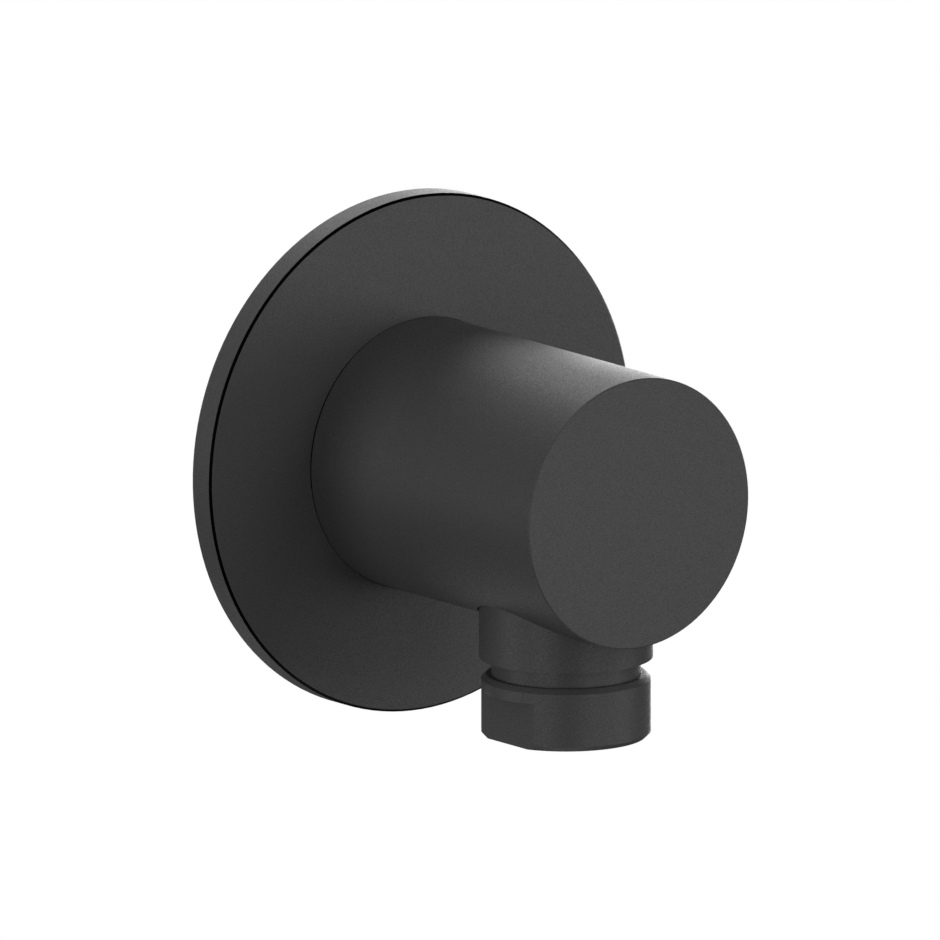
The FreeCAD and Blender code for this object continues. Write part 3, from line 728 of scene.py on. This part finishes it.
# Each O-ring's axis, its place along it, its mean radius and its thickness, in millimetres.
O_RINGS = {
    "rosette_o_ring": ("wall", -1.9, 17.70, 1.42),
    "nipple_o_ring_rear": ("wall", -13.5, 10.225, 1.61),
    "nipple_o_ring_front": ("wall", -16.9, 10.225, 1.61),
    "outlet_o_ring": ("outlet", -10.58, 8.421, 1.8),
    "valve_o_ring": ("outlet", -16.6, 6.975, 1.21),
}
for node, (axis, along, radius, section) in O_RINGS.items():
    add_ring(
        node, node + "_rubber", axis, along=along * MM, material=rubber, slot="black_rubber",
        ring_radius=radius * MM, width=section * MM, thickness=section * MM,
        corner=section / 2 * MM,
    )

# Flat seals: a rubber washer under the nipple's flange, and the disc that the valve's
# poppet closes with, both cut from sheet, so that their corners are only just round.
add_ring(
    "wall_seal_ring", "wall_seal_washer", "wall", along=-0.75 * MM,
    material=rubber, slot="black_rubber",
    ring_radius=12.01375 * MM, width=2.7725 * MM, thickness=1.5 * MM,
    corner=0.2 * MM, corner_steps=3,
)
add_ring(
    "poppet_seal", "poppet_seal_disc", "outlet", along=-18.875 * MM,
    material=rubber, slot="black_rubber", body="poppet",
    ring_radius=3.375 * MM, width=3.45 * MM, thickness=0.95 * MM,
    corner=0.15 * MM, corner_steps=3,
)

# Foam ring: cut from closed-cell foam and laid in the back of the rosette, where it fills
# uneven tiles. Its surface is full of small cut cells, whose hollows are painted darker as
# painted shade, and its edges are a little soft.
FOAM_DARK = (0.16, 0.16, 0.17)
FOAM_PALE = (0.2, 0.2, 0.21)
FOAM_PORE_SHADE = (0.07, 0.07, 0.075)
FOAM_ROUGHNESS = (0.85, 0.97)
FOAM_SHINE = 0.2
CELLS_A_METRE = 1700
PORE_REACH = 0.55
PORE_DEPTH = 0.06 * MM

foam, parts, wires, finish = new_material("grey foam")
place = parts.new("ShaderNodeTexCoord")
cells = parts.new("ShaderNodeTexVoronoi")
cells.inputs["Scale"].default_value = CELLS_A_METRE
wires.new(place.outputs["Object"], cells.inputs["Vector"])
texture = add_grain(parts, grain_size=0.3 * MM, cloud_size=4 * MM)
skin = vary(parts, wires, texture.outputs["Clouding"], FOAM_DARK, FOAM_PALE)
pore = parts.new("ShaderNodeMapRange")
pore.inputs["From Max"].default_value = PORE_REACH
wires.new(cells.outputs["Distance"], pore.inputs["Value"])
# Painted shade: the middles of the cells are painted darker.
choose(parts, wires, pore.outputs[0], FOAM_PORE_SHADE, skin, finish.inputs["Base Color"])
vary(parts, wires, texture.outputs["Grain"], *FOAM_ROUGHNESS, finish.inputs["Roughness"])
finish.inputs["Specular IOR Level"].default_value = FOAM_SHINE
raise_surface(parts, wires, pore.outputs[0], PORE_DEPTH, finish)
add_ring(
    "rosette_gasket", "foam_ring", "wall", along=-1.0 * MM,
    material=foam, slot="grey_foam",
    ring_radius=27.1 * MM, width=7.2 * MM, thickness=2.0 * MM, corner=0.35 * MM,
    pitting=0.12 * MM, around=280, corner_steps=3,
)

# Valve: a non-return cartridge pushed up into the outlet nipple, housing, guide and poppet
# moulded in white acetal. Water pushes the poppet down off its seat against a spring.
ACETAL_DULL = (0.78, 0.78, 0.76)
ACETAL_WHITE = (0.83, 0.83, 0.81)
ACETAL_ROUGHNESS = (0.3, 0.42)
ACETAL_CLEARNESS = 0.15
ACETAL_LIGHT_DEPTH = 0.5 * MM
ACETAL_GRAIN_DEPTH = 0.003 * MM

acetal, parts, wires, finish = new_material("white acetal")
texture = add_grain(parts, grain_size=0.25 * MM, cloud_size=4 * MM)
clouding = texture.outputs["Clouding"]
vary(parts, wires, clouding, ACETAL_DULL, ACETAL_WHITE, finish.inputs["Base Color"])
vary(parts, wires, texture.outputs["Grain"], *ACETAL_ROUGHNESS, finish.inputs["Roughness"])
finish.inputs["Subsurface Weight"].default_value = ACETAL_CLEARNESS
finish.inputs["Subsurface Scale"].default_value = ACETAL_LIGHT_DEPTH
raise_surface(parts, wires, texture.outputs["Grain"], ACETAL_GRAIN_DEPTH, finish)
for node in ("valve_housing", "valve_guide", "valve_poppet"):
    dress(node, acetal)

# Valve spring: stainless wire between the guide's hub and the poppet. It shortens towards
# the hub as the poppet opens; here it is a plain copy of the imported coil, on its own mesh.
coil = bpy.data.objects.new("valve_spring_wire", nodes["valve_spring"].data.copy())
bpy.context.scene.collection.objects.link(coil)
coil.data.materials.clear()
coil.data.materials.append(turned_steel("steel of the spring", "outlet"))
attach(coil, "fitting")
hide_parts("valve_spring")
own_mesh(coil)
